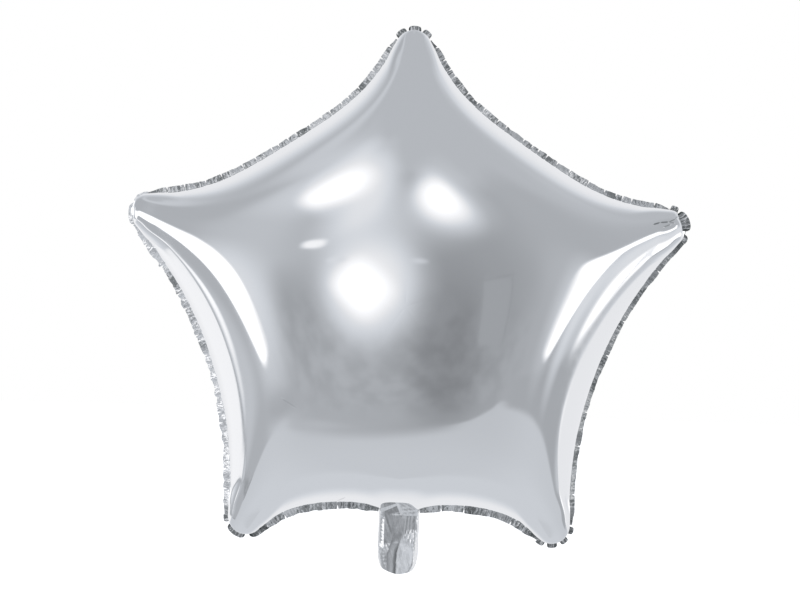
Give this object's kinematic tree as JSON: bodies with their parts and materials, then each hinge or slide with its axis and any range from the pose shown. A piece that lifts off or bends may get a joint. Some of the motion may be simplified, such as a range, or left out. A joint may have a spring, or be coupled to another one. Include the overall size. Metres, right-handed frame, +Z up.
{
  "type": "foil balloon, five-pointed star",
  "caption": "Inflated five-pointed star balloon of mirror-bright metallised film, with crimped weld flange, gathered tip tabs and a flat filling neck at the bottom.",
  "frame": {"origin": "middle of the star on the plane where the front and back films are welded, which is where the air holds it up", "axes": "+Z up through the top tip, -Y out of the front film, +X to the right as the front is seen"},
  "size_m": [0.4424, 0.1904, 0.431],
  "materials": {
    "front_foil": "mirror-bright metallised film, stretched smooth",
    "back_foil": "mirror-bright metallised film, stretched smooth",
    "seam_foil": "two welded films, crimped into small bright and dark folds",
    "tab_foil": "gathered and pleated welded film",
    "neck_foil": "slack metallised film, softly crumpled",
    "valve_film": "milky plain film"
  },
  "bodies": {
    "root": {"front_panel": "front_foil", "back_panel": "back_foil", "seam_upper_left": "seam_foil", "seam_upper_right": "seam_foil", "seam_left": "seam_foil", "seam_right": "seam_foil", "seam_lower_left": "seam_foil", "seam_lower_right": "seam_foil", "tip_top": "tab_foil", "tip_left": "tab_foil", "tip_right": "tab_foil", "tip_lower_left": "tab_foil", "tip_lower_right": "tab_foil", "neck_front": "neck_foil", "neck_back": "neck_foil", "valve_sleeve": "valve_film"}
  },
  "joints": []
}
